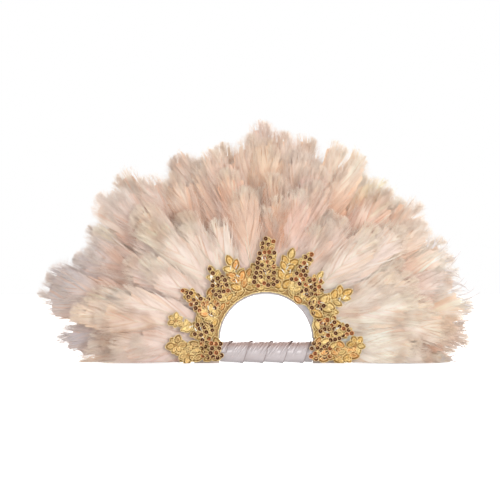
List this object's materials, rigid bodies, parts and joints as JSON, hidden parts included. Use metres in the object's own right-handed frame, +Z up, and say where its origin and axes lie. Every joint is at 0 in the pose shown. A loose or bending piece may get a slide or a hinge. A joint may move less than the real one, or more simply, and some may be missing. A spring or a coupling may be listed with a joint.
{
  "type": "feather hand fan",
  "caption": "Half-moon feather hand fan: shingled rows of plumes on a stiff arch edged with gold lace, held by a satin-wound grip bar across a D-shaped hand opening.",
  "frame": {"origin": "middle of the fan's base line, on the surface it stands on, under the middle of the grip", "axes": "+X to the viewer's right along the grip bar, +Z up through the crown of the half moon, and the laced front faces -Y"},
  "size_m": [0.5286, 0.0397, 0.2886],
  "materials": {
    "arch_board": "plain thin plywood",
    "handle_dowel": "turned, unfinished",
    "satin": "pale pink-grey satin ribbon with a soft sheen",
    "quill_tape": "woven cotton tape",
    "gold_lace": "corded gold lace with bronze sequins and beads",
    "plumage": "matt blush and cream feather barbs"
  },
  "bodies": {
    "root": {"arch_board": "arch_board", "handle_dowel": "handle_dowel", "handle_ribbon": "satin", "edge_binding": "satin", "back_cover": "satin", "quill_tape": "quill_tape", "lace_band": "gold_lace", "lace_spray_01": "gold_lace", "lace_spray_02": "gold_lace", "lace_spray_03": "gold_lace", "lace_spray_04": "gold_lace", "lace_spray_05": "gold_lace", "lace_spray_06": "gold_lace", "lace_spray_07": "gold_lace", "lace_spray_08": "gold_lace", "lace_spray_09": "gold_lace", "lace_spray_10": "gold_lace", "grip_spray_left": "gold_lace", "grip_spray_right": "gold_lace", "long_plume_01": "plumage", "long_plume_02": "plumage", "long_plume_03": "plumage", "long_plume_04": "plumage", "long_plume_05": "plumage", "long_plume_06": "plumage", "long_plume_07": "plumage", "long_plume_08": "plumage", "long_plume_09": "plumage", "long_plume_10": "plumage", "long_plume_11": "plumage", "long_plume_12": "plumage", "long_plume_13": "plumage", "long_plume_14": "plumage", "front_plume_01": "plumage", "front_plume_02": "plumage", "front_plume_03": "plumage", "front_plume_04": "plumage", "front_plume_05": "plumage", "front_plume_06": "plumage", "front_plume_07": "plumage", "front_plume_08": "plumage", "front_plume_09": "plumage", "front_plume_10": "plumage", "front_plume_11": "plumage", "front_plume_12": "plumage", "front_plume_13": "plumage", "back_plume_01": "plumage", "back_plume_02": "plumage", "back_plume_03": "plumage", "back_plume_04": "plumage", "back_plume_05": "plumage", "back_plume_06": "plumage", "back_plume_07": "plumage", "back_plume_08": "plumage", "back_plume_09": "plumage", "back_plume_10": "plumage", "back_plume_11": "plumage", "back_plume_12": "plumage", "back_plume_13": "plumage"}
  },
  "joints": []
}
